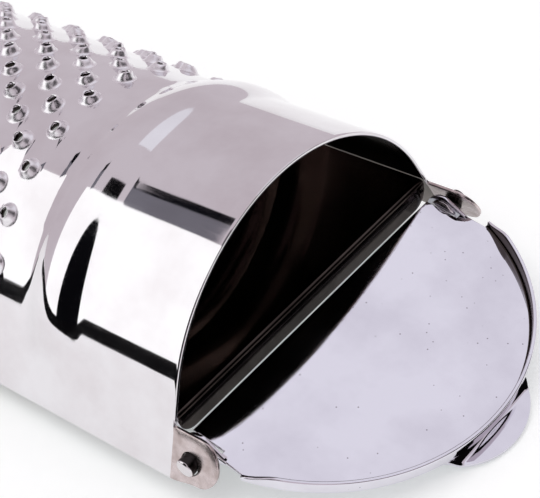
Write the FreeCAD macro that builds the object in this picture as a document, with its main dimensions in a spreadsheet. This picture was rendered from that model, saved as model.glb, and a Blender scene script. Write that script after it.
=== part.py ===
import FreeCAD, Part
import math
import os
import Sketcher

# Half-round hand grater with a spice compartment closed by a hinged lid.
# Frame: x = 0 is the plane of the open end and +X points out of it, y = 0 is the middle of the arch,
# z = 0 is the plane of the two long bottom edges and +Z points at the crown.

doc = FreeCAD.newDocument("hand_grater")
sizes = doc.addObject("Spreadsheet::Sheet", "Sizes")

# Driving dimensions in millimetres and degrees: alias, value, meaning.
DIMENSIONS = [
    ("base_width", 46.0, "outside width across the bottom edges"),
    ("body_height", 21.5, "outside height of the crown above the bottom edges"),
    ("body_length", 138.0, "length of the stamped body"),
    ("side_lean", 23.0, "lean of the side walls from upright"),
    ("shell_sheet", 0.4, "sheet thickness of the body"),
    ("bead_start", 12.5, "collar length in front of the bead"),
    ("bead_width", 7.5, "width of the bead"),
    ("bead_rise", 0.45, "height of the bead at the crown"),
    ("end_bead_inset", 3.0, "bare edge behind the end bead"),
    ("end_bead_width", 4.0, "width of the end bead"),
    ("ear_reach", 5.8, "reach of the hinge ears past the open end"),
    ("ear_height", 5.2, "top of the hinge ears above the bottom edges"),
    ("ear_foot", 0.5, "bottom of the hinge ears above the bottom edges"),
    ("hinge_out", 2.3, "hinge axis in front of the open end"),
    ("hinge_up", 2.4, "hinge axis above the bottom edges"),
    ("pin_radius", 1.0, "hinge pin shank radius"),
    ("pin_clearance", 0.08, "radial clearance of a pin in its ear"),
    ("pin_head_radius", 1.6, "radius of the pin head"),
    ("pin_head_depth", 0.4, "thickness of the pin head"),
    ("pin_proud", 1.0, "pin length outside the ear"),
    ("tooth_start", 26.5, "first row of teeth behind the open end"),
    ("tooth_end_margin", 9.0, "bare sheet between the last row and the far end"),
    ("tooth_pitch", 3.1, "spacing of the rows along the body"),
    ("tooth_step", 14.2, "angle between the teeth of one row"),
    ("tooth_spread", 57.0, "largest angle of a tooth from the crown"),
    ("tooth_radius", 1.15, "radius of a tooth at the sheet"),
    ("tooth_tip_radius", 0.8, "radius of a tooth at its torn lip"),
    ("tooth_height", 0.75, "height of a tooth above the sheet"),
    ("tooth_bore", 0.55, "radius of the hole through a tooth"),
    ("storage_depth", 20.0, "depth of the compartment behind the open end"),
    ("floor_up", 5.8, "top of the compartment floor above the bottom edges"),
    ("inner_sheet", 0.4, "sheet thickness of the floor and the partition"),
    ("floor_lip", 2.9, "height of the floor's folded lip"),
    ("floor_setback", 0.1, "lip behind the plane of the open end"),
    ("lip_corner", 2.0, "corner radius of the lip"),
    ("weld_gap", 0.03, "gap at a spot-welded edge"),
    ("lid_sheet", 0.4, "sheet thickness of the lid"),
    ("lid_open", 103.5, "angle of the lid from shut, as it lies open"),
    ("lid_seat", 1.4, "gap between the shut lid's plate and the open end"),
    ("rim_gap", 0.6, "gap between the lid's rim and the collar"),
    ("rim_height", 1.5, "height of the rim above the inside of the lid"),
    ("rim_start", 5.2, "lower ends of the rim above the hinge axis"),
    ("lid_heel", 1.9, "lid tongue below the hinge axis"),
    ("tongue_gap", 0.5, "gap between the lid's tongue and its lugs"),
    ("tongue_top", 2.0, "upper end of the tongue above the hinge axis"),
    ("lug_radius", 2.1, "radius of the lugs round the pins"),
    ("lug_gap", 0.2, "gap between a lug and its ear"),
    ("tab_weld", 5.6, "length of the tab that is welded under the lid"),
    ("tab_proud", 2.2, "tab past the rim"),
    ("tab_drop", 0.5, "step of the tab away from the lid"),
    ("tab_round", 8.2, "radius of the tab's outline"),
    ("tab_sheet", 0.4, "sheet thickness of the tab"),
]
for row_number, (alias, value, meaning) in enumerate(DIMENSIONS, start=1):
    sizes.set("A%d" % row_number, meaning)
    sizes.set("B%d" % row_number, str(value))
    sizes.setAlias("B%d" % row_number, alias)
doc.recompute()


def size(name):
    """Value of one driving dimension."""
    return float(getattr(sizes, name))


def cell(name):
    """The same dimension as an expression."""
    return "Sizes." + name


# Outer section: an arc over two leaning walls that are tangent to it.
HALF = "(Sizes.base_width / 2)"
ARC = ("((Sizes.base_width / 2 * cos(Sizes.side_lean) - Sizes.body_height * sin(Sizes.side_lean))"
       " / (1 - sin(Sizes.side_lean)))")
MIDDLE = "(Sizes.body_height - %s)" % ARC


def expression_value(text):
    """Number that an expression gives."""
    return float(sizes.evalExpression(text))


def wall_y(height, inset):
    """Half width of the section at a height, as far inside the outer face as inset says."""
    return "(%s - (%s) * tan(Sizes.side_lean) - (%s) / cos(Sizes.side_lean))" % (HALF, height, inset)


def tangent_point(inset, side):
    """Where wall and arc meet, on one side."""
    radius = "(%s - (%s))" % (ARC, inset)
    y = "(%d * %s * cos(Sizes.side_lean))" % (side, radius)
    z = "(%s + %s * sin(Sizes.side_lean))" % (MIDDLE, radius)
    return y, z


def section_y(height, inset):
    """Half width of the section at a height, on the arc or on the wall, whichever is there."""
    radius = "(%s - (%s))" % (ARC, inset)
    meeting = tangent_point(inset, 1)[1]
    on_arc = "sqrt(abs(%s * %s - ((%s) - %s) * ((%s) - %s)))" % (
        radius, radius, height, MIDDLE, height, MIDDLE)
    return "((%s) > %s ? %s : %s)" % (height, meeting, on_arc, wall_y(height, inset))


def origin_plane(body, role):
    """One of a body's own origin planes."""
    for feature in body.Origin.OriginFeatures:
        if feature.Role == role:
            return feature
    raise RuntimeError("no plane " + role)


def new_body(label):
    """An empty body with its own label."""
    body = doc.addObject("PartDesign::Body", label)
    body.Label = label
    return body


def new_sketch(body, name, role, offset="0"):
    """A sketch on one of the body's planes, moved along the plane's normal."""
    sketch = body.newObject("Sketcher::SketchObject", name)
    sketch.AttachmentSupport = [(origin_plane(body, role), "")]
    sketch.MapMode = "FlatFace"
    sketch.AttachmentOffset = FreeCAD.Placement(FreeCAD.Vector(0, 0, expression_value(offset)),
                                                FreeCAD.Rotation())
    sketch.setExpression("AttachmentOffset.Base.z", offset)
    return sketch


def pin(sketch, kind, edge, end, text):
    """Hold one coordinate of a point of an edge at an expression from the sketch's origin."""
    index = sketch.addConstraint(
        Sketcher.Constraint(kind, -1, 1, edge, end, expression_value(text)))
    sketch.setExpression("Constraints[%d]" % index, text)


def pin_point(sketch, edge, end, x_text, y_text):
    """Hold both coordinates of a point of an edge."""
    pin(sketch, "DistanceX", edge, end, x_text)
    pin(sketch, "DistanceY", edge, end, y_text)


def outline(sketch, corners):
    """Closed outline. A corner is (x, y) before a straight edge, or (x, y, (centre x, centre y,
    radius, +1 or -1 for the way round)) before an arc."""
    points = [FreeCAD.Vector(expression_value(c[0]), expression_value(c[1]), 0) for c in corners]
    count = len(corners)
    for index, corner in enumerate(corners):
        start = points[index]
        stop = points[(index + 1) % count]
        if len(corner) == 2:
            edge = sketch.addGeometry(Part.LineSegment(start, stop), False)
            pin_point(sketch, edge, 1, corner[0], corner[1])
            after = corners[(index + 1) % count]
            pin_point(sketch, edge, 2, after[0], after[1])
            continue
        centre_x, centre_y, radius, turn = corner[2]
        centre = FreeCAD.Vector(expression_value(centre_x), expression_value(centre_y), 0)
        first, last = (start, stop) if turn > 0 else (stop, start)
        circle = Part.Circle(centre, FreeCAD.Vector(0, 0, 1), expression_value(radius))
        start_angle = math.atan2(first.y - centre.y, first.x - centre.x)
        stop_angle = math.atan2(last.y - centre.y, last.x - centre.x)
        edge = sketch.addGeometry(Part.ArcOfCircle(circle, start_angle, stop_angle), False)
        after = corners[(index + 1) % count]
        ends = (corner, after) if turn > 0 else (after, corner)
        pin_point(sketch, edge, 3, centre_x, centre_y)
        pin_point(sketch, edge, 1, ends[0][0], ends[0][1])
        # The centre and one end fix the radius, so the other end needs only the coordinate
        # that changes fastest along the arc.
        if abs(last.x - centre.x) < abs(last.y - centre.y):
            pin(sketch, "DistanceX", edge, 2, ends[1][0])
        else:
            pin(sketch, "DistanceY", edge, 2, ends[1][1])


def circle_in(sketch, x_text, y_text, radius_text):
    """A circle held by its centre and radius."""
    centre = FreeCAD.Vector(expression_value(x_text), expression_value(y_text), 0)
    circle = Part.Circle(centre, FreeCAD.Vector(0, 0, 1), expression_value(radius_text))
    edge = sketch.addGeometry(circle, False)
    pin_point(sketch, edge, 3, x_text, y_text)
    index = sketch.addConstraint(Sketcher.Constraint("Radius", edge, circle.Radius))
    sketch.setExpression("Constraints[%d]" % index, radius_text)


def add_pad(body, sketch, name, length, reverse=False, middle=False):
    """Pad a sketch by an expression."""
    pad = body.newObject("PartDesign::Pad", name)
    pad.Profile = sketch
    pad.Length = expression_value(length)
    pad.setExpression("Length", length)
    pad.Reversed = reverse
    pad.SideType = "Symmetric" if middle else "One side"
    doc.recompute()
    return pad


def add_through_pocket(body, sketch, name):
    """Cut a sketch both ways through the whole body, and see that it cuts."""
    before = body.Shape.Volume
    pocket = body.newObject("PartDesign::Pocket", name)
    pocket.Profile = sketch
    pocket.SideType = "Symmetric"
    pocket.Type = "ThroughAll"
    doc.recompute()
    if body.Shape.Volume >= before:
        raise RuntimeError(name + " cuts nothing")
    return pocket


def section_band(inset_out, inset_in):
    """Corners of a band of the arch between two insets, cut square at the walls' tangent points."""
    right_out = tangent_point(inset_out, 1)
    left_out = tangent_point(inset_out, -1)
    right_in = tangent_point(inset_in, 1)
    left_in = tangent_point(inset_in, -1)
    outer_radius = "(%s - (%s))" % (ARC, inset_out)
    inner_radius = "(%s - (%s))" % (ARC, inset_in)
    return [
        (right_out[0], right_out[1], ("0", MIDDLE, outer_radius, 1)),
        left_out,
        (left_in[0], left_in[1], ("0", MIDDLE, inner_radius, -1)),
        right_in,
    ]


def make_shell_sheet():
    """The stamped body without its teeth: arch, walls, beads and hinge ears."""
    body = new_body("shell_sheet")
    skin = cell("shell_sheet")
    walls = new_sketch(body, "section", "YZ_Plane")
    right_out = tangent_point("0", 1)
    left_out = tangent_point("0", -1)
    right_in = tangent_point(skin, 1)
    left_in = tangent_point(skin, -1)
    inner_radius = "(%s - %s)" % (ARC, skin)
    outline(walls, [
        (wall_y("0", "0"), "0"),
        (right_out[0], right_out[1], ("0", MIDDLE, ARC, 1)),
        left_out,
        ("-" + wall_y("0", "0"), "0"),
        ("-" + wall_y("0", skin), "0"),
        (left_in[0], left_in[1], ("0", MIDDLE, inner_radius, -1)),
        right_in,
        (wall_y("0", skin), "0"),
    ])
    add_pad(body, walls, "wall_pad", cell("body_length"), reverse=True)

    # Each bead is a raised band over the arch, which stops where the flat walls start.
    beads = [("collar_bead", "Sizes.bead_start", "bead_width"),
             ("end_bead", "(Sizes.body_length - Sizes.end_bead_inset - Sizes.end_bead_width)",
              "end_bead_width")]
    for name, start, width in beads:
        ring = new_sketch(body, name + "_section", "YZ_Plane", "-" + start)
        outline(ring, section_band("(-Sizes.bead_rise)", "(%s / 2)" % skin))
        add_pad(body, ring, name, cell(width), reverse=True)

    for side, name in ((1, "far"), (-1, "near")):
        sign = "" if side > 0 else "-"
        strip = new_sketch(body, name + "_ear_strip", "YZ_Plane")
        top = cell("ear_height")
        foot = cell("ear_foot")
        outline(strip, [
            (sign + wall_y(foot, "0"), foot),
            (sign + wall_y(top, "0"), top),
            (sign + wall_y(top, skin), top),
            (sign + wall_y(foot, skin), foot),
        ])
        add_pad(body, strip, name + "_ear", cell("ear_reach"))

    # The ears' round ends: everything outside a half circle is cut away.
    round_end = "((Sizes.ear_height - Sizes.ear_foot) / 2)"
    round_middle = "((Sizes.ear_height + Sizes.ear_foot) / 2)"
    round_start = "(Sizes.ear_reach - %s)" % round_end
    beyond = "(Sizes.ear_reach + 1)"
    waste = new_sketch(body, "ear_waste", "XZ_Plane")
    outline(waste, [
        (round_start, "(Sizes.ear_height + 1)"),
        (round_start, cell("ear_height"), (round_start, round_middle, round_end, -1)),
        (round_start, cell("ear_foot")),
        (round_start, "-1"),
        (beyond, "-1"),
        (beyond, "(Sizes.ear_height + 1)"),
    ])
    add_through_pocket(body, waste, "ear_rounding")
    bores = new_sketch(body, "pin_holes", "XZ_Plane")
    circle_in(bores, cell("hinge_out"), cell("hinge_up"), "(Sizes.pin_radius + Sizes.pin_clearance)")
    add_through_pocket(body, bores, "pin_bores")
    return body


def tooth_places():
    """Position and outward direction of every tooth: rows shifted by half a step in turn."""
    places = []
    middle = expression_value(MIDDLE)
    radius = expression_value(ARC)
    last = size("body_length") - size("tooth_end_margin")
    row_count = int((last - size("tooth_start")) / size("tooth_pitch")) + 1
    for row in range(row_count):
        x = -(size("tooth_start") + row * size("tooth_pitch"))
        shift = 0.5 * (row % 2)
        reach = int(size("tooth_spread") / size("tooth_step")) + 1
        for step in range(-reach, reach + 1):
            angle = (step + shift) * size("tooth_step")
            if abs(angle) > size("tooth_spread"):
                continue
            out = FreeCAD.Vector(0, math.sin(math.radians(angle)), math.cos(math.radians(angle)))
            places.append((FreeCAD.Vector(x, 0, middle) + out * radius, out))
    return places


def make_shell(sheet_body):
    """The body with its punched teeth: a raised cone at each place and a hole through it."""
    skin = size("shell_sheet")
    cones = []
    bores = []
    for place, out in tooth_places():
        foot = place - out * skin * 0.5
        cones.append(Part.makeCone(size("tooth_radius"), size("tooth_tip_radius"),
                                   size("tooth_height") + skin * 0.5, foot, out))
        bores.append(Part.makeCylinder(size("tooth_bore"), size("tooth_height") + 3 * skin,
                                       place - out * skin * 2, out))
    raised = doc.addObject("Part::Feature", "tooth_cones")
    raised.Shape = Part.makeCompound(cones)
    holes = doc.addObject("Part::Feature", "tooth_holes")
    holes.Shape = Part.makeCompound(bores)
    joined = doc.addObject("Part::Fuse", "shell_with_cones")
    joined.Base = sheet_body
    joined.Tool = raised
    shell = doc.addObject("Part::Cut", "grater_shell")
    shell.Base = joined
    shell.Tool = holes
    shell.Label = "grater_shell"
    return shell


def make_floor():
    """Compartment floor: a flat plate with a lip folded down at the open end."""
    body = new_body("storage_floor")
    skin = cell("inner_sheet")
    fold = new_sketch(body, "fold", "XZ_Plane")
    front = "(-Sizes.floor_setback)"
    under = "(Sizes.floor_up - %s)" % skin
    lip_end = "(Sizes.floor_up - Sizes.floor_lip)"
    behind = "(%s - %s)" % (front, skin)
    outline(fold, [
        ("(-Sizes.storage_depth)", under),
        (behind, under),
        (behind, lip_end),
        (front, lip_end),
        (front, cell("floor_up")),
        ("(-Sizes.storage_depth)", cell("floor_up")),
    ])
    width = "(2 * (%s - Sizes.weld_gap))" % section_y(cell("floor_up"), cell("shell_sheet"))
    plate = add_pad(body, fold, "plate", width, middle=True)
    low = expression_value(lip_end)
    corner_edges = []
    for number, edge in enumerate(plate.Shape.Edges, start=1):
        box = edge.BoundBox
        if abs(box.ZMax - low) < 0.001 and box.YLength < 0.001 and box.XLength > 0.1:
            corner_edges.append("Edge%d" % number)
    corners = body.newObject("PartDesign::Fillet", "lip_corners")
    corners.Base = (plate, corner_edges)
    corners.setExpression("Radius", cell("lip_corner"))
    doc.recompute()
    return body


def make_partition():
    """Bulkhead across the arch at the inner end of the compartment, standing on the floor."""
    body = new_body("storage_partition")
    inset = "(Sizes.shell_sheet + Sizes.weld_gap)"
    wall = new_sketch(body, "wall", "YZ_Plane", "(-Sizes.storage_depth + %s)" % cell("inner_sheet"))
    right = tangent_point(inset, 1)
    left = tangent_point(inset, -1)
    radius = "(%s - %s)" % (ARC, inset)
    outline(wall, [
        (wall_y("0", inset), "0"),
        (right[0], right[1], ("0", MIDDLE, radius, 1)),
        left,
        ("-" + wall_y("0", inset), "0"),
    ])
    add_pad(body, wall, "bulkhead", cell("inner_sheet"), reverse=True)
    waste = new_sketch(body, "under_floor", "YZ_Plane")
    outline(waste, [
        (HALF, cell("floor_up")),
        ("-" + HALF, cell("floor_up")),
        ("-" + HALF, "-1"),
        (HALF, "-1"),
    ])
    add_through_pocket(body, waste, "foot_on_floor")
    return body


# The lid is drawn shut, with its hinge axis on its own origin, and its Placement opens it.
LID_FACE = "(Sizes.lid_seat - Sizes.hinge_out)"
LID_BACK = "(%s + Sizes.lid_sheet)" % LID_FACE
LID_MIDDLE = "(%s - Sizes.hinge_up)" % MIDDLE
RIM_IN = "(%s + Sizes.rim_gap)" % ARC
RIM_OUT = "(%s + Sizes.rim_gap + Sizes.lid_sheet)" % ARC
LUG_OUT = "(%s - Sizes.lug_gap)" % wall_y(cell("ear_height"), cell("shell_sheet"))
LUG_IN = "(%s - Sizes.lid_sheet)" % LUG_OUT
TONGUE = "(%s - Sizes.tongue_gap)" % LUG_IN
ABOVE_EAR = "(Sizes.ear_height - Sizes.hinge_up + Sizes.lug_gap)"


def rim_y(radius):
    """Half width of an arc of the lid at the height where the rim starts."""
    rise = "(Sizes.rim_start - %s)" % LID_MIDDLE
    return "sqrt(%s * %s - %s * %s)" % (radius, radius, rise, rise)


def open_lid(part):
    """Swing a piece of the lid to the open position, round the hinge axis."""
    part.Placement = FreeCAD.Placement(
        FreeCAD.Vector(size("hinge_out"), 0, size("hinge_up")),
        FreeCAD.Rotation(FreeCAD.Vector(0, 1, 0), size("lid_open")))
    part.setExpression("Placement.Base.x", cell("hinge_out"))
    part.setExpression("Placement.Base.z", cell("hinge_up"))
    part.setExpression("Placement.Rotation.Angle", cell("lid_open"))


def make_lid():
    """D-shaped plate with a rim along its arc, a tongue under the floor's lip and two lugs."""
    body = new_body("lid_plate")
    start = cell("rim_start")
    heel = "(-Sizes.lid_heel)"
    plate = new_sketch(body, "face", "YZ_Plane", LID_FACE)
    tongue_top = cell("tongue_top")
    outline(plate, [
        (TONGUE, heel),
        (TONGUE, tongue_top),
        (LUG_OUT, tongue_top),
        (LUG_OUT, ABOVE_EAR),
        (rim_y(RIM_OUT), start, ("0", LID_MIDDLE, RIM_OUT, 1)),
        ("-" + rim_y(RIM_OUT), start),
        ("-" + LUG_OUT, ABOVE_EAR),
        ("-" + LUG_OUT, tongue_top),
        ("-" + TONGUE, tongue_top),
        ("-" + TONGUE, heel),
    ])
    add_pad(body, plate, "plate", cell("lid_sheet"))
    band = new_sketch(body, "rim_band", "YZ_Plane", LID_FACE)
    outline(band, [
        (rim_y(RIM_OUT), start, ("0", LID_MIDDLE, RIM_OUT, 1)),
        ("-" + rim_y(RIM_OUT), start),
        ("-" + rim_y(RIM_IN), start, ("0", LID_MIDDLE, RIM_IN, -1)),
        (rim_y(RIM_IN), start),
    ])
    add_pad(body, band, "rim", cell("rim_height"), reverse=True)
    for side, name in ((1, "far"), (-1, "near")):
        # The plane's normal is -Y, so the far lug starts at a negative offset.
        offset = "(-%s)" % LUG_OUT if side > 0 else LUG_IN
        lug = new_sketch(body, name + "_lug_outline", "XZ_Plane", offset)
        outline(lug, [
            (LID_FACE, ABOVE_EAR),
            ("(-Sizes.lug_radius)", "0", ("0", "0", cell("lug_radius"), 1)),
            (cell("lug_radius"), "0"),
            (LID_BACK, ABOVE_EAR),
        ])
        circle_in(lug, "0", "0", cell("pin_radius"))
        add_pad(body, lug, name + "_lug", cell("lid_sheet"))
    open_lid(body)
    return body


def make_tab():
    """Thumb tab: a strip welded under the crown of the lid, stepped away from it, round outside."""
    strip = new_body("tab_strip")
    crown = "(%s + %s)" % (LID_MIDDLE, RIM_OUT)
    skin = cell("tab_sheet")
    low = "(%s - %s)" % (crown, cell("tab_weld"))
    end = "(%s + Sizes.tab_proud)" % crown
    step_start = "(%s - 1)" % crown
    step_end = "(%s + Sizes.tab_drop - 1)" % crown
    dropped = "(%s + Sizes.tab_drop)" % LID_BACK
    bend = new_sketch(strip, "bend", "XZ_Plane")
    outline(bend, [
        (LID_BACK, low),
        ("(%s + %s)" % (LID_BACK, skin), low),
        ("(%s + %s)" % (LID_BACK, skin), "(%s - %s / 2)" % (step_start, skin)),
        ("(%s + %s)" % (dropped, skin), "(%s - %s / 2)" % (step_end, skin)),
        ("(%s + %s)" % (dropped, skin), end),
        (dropped, end),
        (dropped, step_end),
        (LID_BACK, step_start),
    ])
    add_pad(strip, bend, "strip", "(2 * Sizes.tab_round)", middle=True)
    disc = doc.addObject("Part::Cylinder", "tab_disc")
    disc.setExpression("Radius", cell("tab_round"))
    disc.setExpression("Height", "(Sizes.tab_drop + 2)")
    disc.Placement = FreeCAD.Placement(
        FreeCAD.Vector(expression_value(LID_BACK) - 0.5, 0, 0),
        FreeCAD.Rotation(FreeCAD.Vector(0, 1, 0), 90))
    disc.setExpression("Placement.Base.x", "(%s - 0.5)" % LID_BACK)
    disc.setExpression("Placement.Base.z", "(%s - Sizes.tab_round)" % end)
    tab = doc.addObject("Part::Common", "lid_thumb_tab")
    tab.Label = "lid_thumb_tab"
    tab.Base = strip
    tab.Tool = disc
    open_lid(tab)
    return tab


def make_pin(label, side):
    """Headed pin: the head lies inside the lug, the shank passes the lug and the ear."""
    body = new_body(label)
    head_face = "(%s - Sizes.pin_head_depth)" % LUG_IN
    tip = "(%s + Sizes.pin_proud)" % wall_y(cell("hinge_up"), "0")
    profile = new_sketch(body, "profile", "YZ_Plane")
    sign = "" if side > 0 else "-"
    outline(profile, [
        (sign + head_face, "0"),
        (sign + head_face, cell("pin_head_radius")),
        (sign + LUG_IN, cell("pin_head_radius")),
        (sign + LUG_IN, cell("pin_radius")),
        (sign + tip, cell("pin_radius")),
        (sign + tip, "0"),
    ])
    turned = body.newObject("PartDesign::Revolution", "turned")
    turned.Profile = profile
    turned.ReferenceAxis = (profile, ["H_Axis"])
    turned.Angle = 360
    doc.recompute()
    open_lid(body)
    return body


shell_sheet = make_shell_sheet()
nodes = [
    make_shell(shell_sheet),
    make_floor(),
    make_partition(),
    make_lid(),
    make_tab(),
    make_pin("hinge_pin_near", -1),
    make_pin("hinge_pin_far", 1),
]
doc.recompute()

for item in doc.Objects:
    if "Invalid" in item.State or "Error" in item.State:
        raise RuntimeError("%s failed: %s" % (item.Name, item.State))
os.makedirs("parts", exist_ok=True)
for node in nodes:
    shape = node.Shape
    if shape.isNull() or not shape.isValid():
        raise RuntimeError(node.Label + " has no valid shape")
    shape.exportStep("parts/%s.step" % node.Label)
    print(node.Label, "solids", len(shape.Solids), "volume", round(shape.Volume, 2), shape.BoundBox)
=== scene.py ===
import logging
import math
import random
from dataclasses import dataclass, field
from enum import Enum
from typing import Callable, Optional, Sequence

import bmesh
import bpy
from mathutils import Matrix, Vector


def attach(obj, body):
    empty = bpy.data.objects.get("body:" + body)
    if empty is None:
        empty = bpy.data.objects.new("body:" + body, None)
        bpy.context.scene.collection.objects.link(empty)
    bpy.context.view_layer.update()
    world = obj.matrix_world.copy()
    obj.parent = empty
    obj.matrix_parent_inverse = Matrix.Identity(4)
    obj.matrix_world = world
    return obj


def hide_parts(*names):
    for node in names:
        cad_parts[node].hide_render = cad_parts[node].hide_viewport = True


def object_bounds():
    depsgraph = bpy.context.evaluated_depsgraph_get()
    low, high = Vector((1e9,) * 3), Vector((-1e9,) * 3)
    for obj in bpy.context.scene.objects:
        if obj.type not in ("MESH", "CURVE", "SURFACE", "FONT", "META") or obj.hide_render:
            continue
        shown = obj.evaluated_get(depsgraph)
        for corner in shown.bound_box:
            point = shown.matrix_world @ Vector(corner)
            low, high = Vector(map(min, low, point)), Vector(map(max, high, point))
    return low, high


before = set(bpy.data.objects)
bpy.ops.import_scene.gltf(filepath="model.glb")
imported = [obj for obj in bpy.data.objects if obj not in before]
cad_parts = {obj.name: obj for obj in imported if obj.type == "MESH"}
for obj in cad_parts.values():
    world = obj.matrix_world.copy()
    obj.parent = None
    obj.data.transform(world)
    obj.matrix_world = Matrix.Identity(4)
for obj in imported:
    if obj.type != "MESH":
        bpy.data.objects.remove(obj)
CAD_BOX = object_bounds()

LOG = logging.getLogger("hand_grater")
MM = 0.001
# Where two edges of one sheet meet, points closer than this (in mm) are one point.
MERGE_MM = 0.0005
Point2 = tuple[float, float]
Placer = Callable[[float, float], tuple[Vector, Vector]]


def linear(hex_colour: str) -> tuple[float, float, float, float]:
    """Turn an sRGB hex colour into the linear RGBA that the shaders take.

    Args:
        hex_colour: six hex digits, such as "D8D6D9".

    Returns:
        Linear red, green, blue and an alpha of one.
    """
    channels = []
    for start in (0, 2, 4):
        value = int(hex_colour[start:start + 2], 16) / 255
        channels.append(value / 12.92 if value <= 0.04045 else ((value + 0.055) / 1.055) ** 2.4)
    return channels[0], channels[1], channels[2], 1.0


def add(tree: bpy.types.NodeTree, kind: str, settings: Optional[dict] = None,
        **inputs: object) -> bpy.types.Node:
    """Add one node to a tree, with its settings, values and links.

    Args:
        tree: the node tree.
        kind: the node's type name.
        settings: properties of the node itself.
        inputs: socket names with spaces written as underscores; a socket is linked, a value is set.

    Returns:
        The new node.
    """
    node = tree.nodes.new(kind)
    for name, value in (settings or {}).items():
        setattr(node, name, value)
    for name, value in inputs.items():
        socket = node.inputs[name.replace("_", " ")]
        if isinstance(value, bpy.types.NodeSocket):
            tree.links.new(value, socket)
        else:
            socket.default_value = value
    return node


class Grain(Enum):
    """Which way the fine polishing lines of a sheet run, as stretches along X, Y and Z."""

    ALONG = (0.06, 1.0, 1.0)
    ACROSS = (1.0, 0.06, 1.0)


@dataclass(frozen=True)
class PolishedSteel:
    """Stainless steel sheet, buffed after stamping.

    It gives the eye sharp black and white reflections that bend a little where the press has
    drawn the sheet, with hair-fine polishing lines that soften them in patches.
    """

    name: str
    tint: str = "E4E2E5"
    smear: str = "DAD6D9"
    rough_low: float = 0.03
    rough_high: float = 0.08
    wave_mm: float = 11.0
    wave_depth_mm: float = 0.012
    grain: Grain = Grain.ALONG
    line_mm: float = 0.35
    line_depth_mm: float = 0.0006
    speck_mm: float = 0.0
    speck_spacing: float = 9.0
    speck_colour: str = "8C868C"

    def make(self) -> bpy.types.Material:
        """Build the material.

        Returns:
            The new material.
        """
        material = bpy.data.materials.new(self.name)
        material.use_nodes = True
        tree = material.node_tree
        tree.nodes.clear()
        place = add(tree, "ShaderNodeTexCoord").outputs["Object"]
        wave = add(tree, "ShaderNodeTexNoise", Vector=place, Scale=1 / (self.wave_mm * MM),
                   Detail=1.5, Roughness=0.4)
        stretched = add(tree, "ShaderNodeMapping", Vector=place, Scale=self.grain.value)
        # Real polishing lines are some 0.02 mm apart: these are drawn coarser, so that they show.
        lines = add(tree, "ShaderNodeTexNoise", Vector=stretched.outputs["Vector"],
                    Scale=1 / (self.line_mm * MM), Detail=3.0, Roughness=0.6)
        patch = add(tree, "ShaderNodeTexNoise", Vector=place, Scale=1 / (self.wave_mm * 0.7 * MM),
                    Detail=4.0, Roughness=0.55)
        both = add(tree, "ShaderNodeMath", {"operation": "MULTIPLY"})
        tree.links.new(patch.outputs["Fac"], both.inputs[0])
        tree.links.new(lines.outputs["Fac"], both.inputs[1])
        rough = add(tree, "ShaderNodeMapRange", Value=both.outputs["Value"],
                    **{"From_Min": 0.12, "From_Max": 0.42, "To_Min": self.rough_low,
                       "To_Max": self.rough_high})
        tones = add(tree, "ShaderNodeValToRGB", Fac=patch.outputs["Fac"])
        tones.color_ramp.elements[0].position = 0.35
        tones.color_ramp.elements[0].color = linear(self.smear)
        tones.color_ramp.elements[1].position = 0.62
        tones.color_ramp.elements[1].color = linear(self.tint)
        colour = tones.outputs["Color"]
        if self.speck_mm:
            cells = add(tree, "ShaderNodeTexVoronoi", {"feature": "F1"}, Vector=place,
                        Scale=1 / (self.speck_mm * self.speck_spacing * MM), Randomness=1.0)
            dot = add(tree, "ShaderNodeValToRGB", Fac=cells.outputs["Distance"])
            dot.color_ramp.elements[0].position = 0.04
            dot.color_ramp.elements[0].color = (1.0, 1.0, 1.0, 1.0)
            dot.color_ramp.elements[1].position = 0.075
            dot.color_ramp.elements[1].color = (0.0, 0.0, 0.0, 1.0)
            mixed = add(tree, "ShaderNodeMix", {"data_type": "RGBA"})
            tree.links.new(dot.outputs["Color"], mixed.inputs["Factor"])
            tree.links.new(colour, mixed.inputs["A"])
            mixed.inputs["B"].default_value = linear(self.speck_colour)
            colour = mixed.outputs["Result"]
        swell = add(tree, "ShaderNodeBump", Height=wave.outputs["Fac"], Strength=1.0,
                    Distance=self.wave_depth_mm * MM)
        fine = add(tree, "ShaderNodeBump", Height=lines.outputs["Fac"], Strength=1.0,
                   Distance=self.line_depth_mm * MM, Normal=swell.outputs["Normal"])
        shader = add(tree, "ShaderNodeBsdfPrincipled", Base_Color=colour, Metallic=1.0,
                     Roughness=rough.outputs["Result"], Normal=fine.outputs["Normal"])
        add(tree, "ShaderNodeOutputMaterial", Surface=shader.outputs["BSDF"])
        return material


@dataclass(frozen=True)
class BrightPaper:
    """White studio paper lit from below: a clean pale ground with the faintest fibre mottle."""

    name: str = "white_studio_paper"
    tint: str = "F6FBF8"
    shade: str = "EFF4F1"
    fibre_mm: float = 1.5
    glow: float = 0.30

    def make(self) -> bpy.types.Material:
        """Build the material.

        Returns:
            The new material.
        """
        material = bpy.data.materials.new(self.name)
        material.use_nodes = True
        tree = material.node_tree
        tree.nodes.clear()
        place = add(tree, "ShaderNodeTexCoord").outputs["Object"]
        fibre = add(tree, "ShaderNodeTexNoise", Vector=place, Scale=1 / (self.fibre_mm * MM),
                    Detail=3.0)
        tones = add(tree, "ShaderNodeValToRGB", Fac=fibre.outputs["Fac"])
        tones.color_ramp.elements[0].color = linear(self.shade)
        tones.color_ramp.elements[1].color = linear(self.tint)
        shader = add(tree, "ShaderNodeBsdfPrincipled", Base_Color=tones.outputs["Color"],
                     Roughness=0.9, Emission_Color=linear(self.tint), Emission_Strength=self.glow)
        add(tree, "ShaderNodeOutputMaterial", Surface=shader.outputs["BSDF"])
        return material


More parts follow.
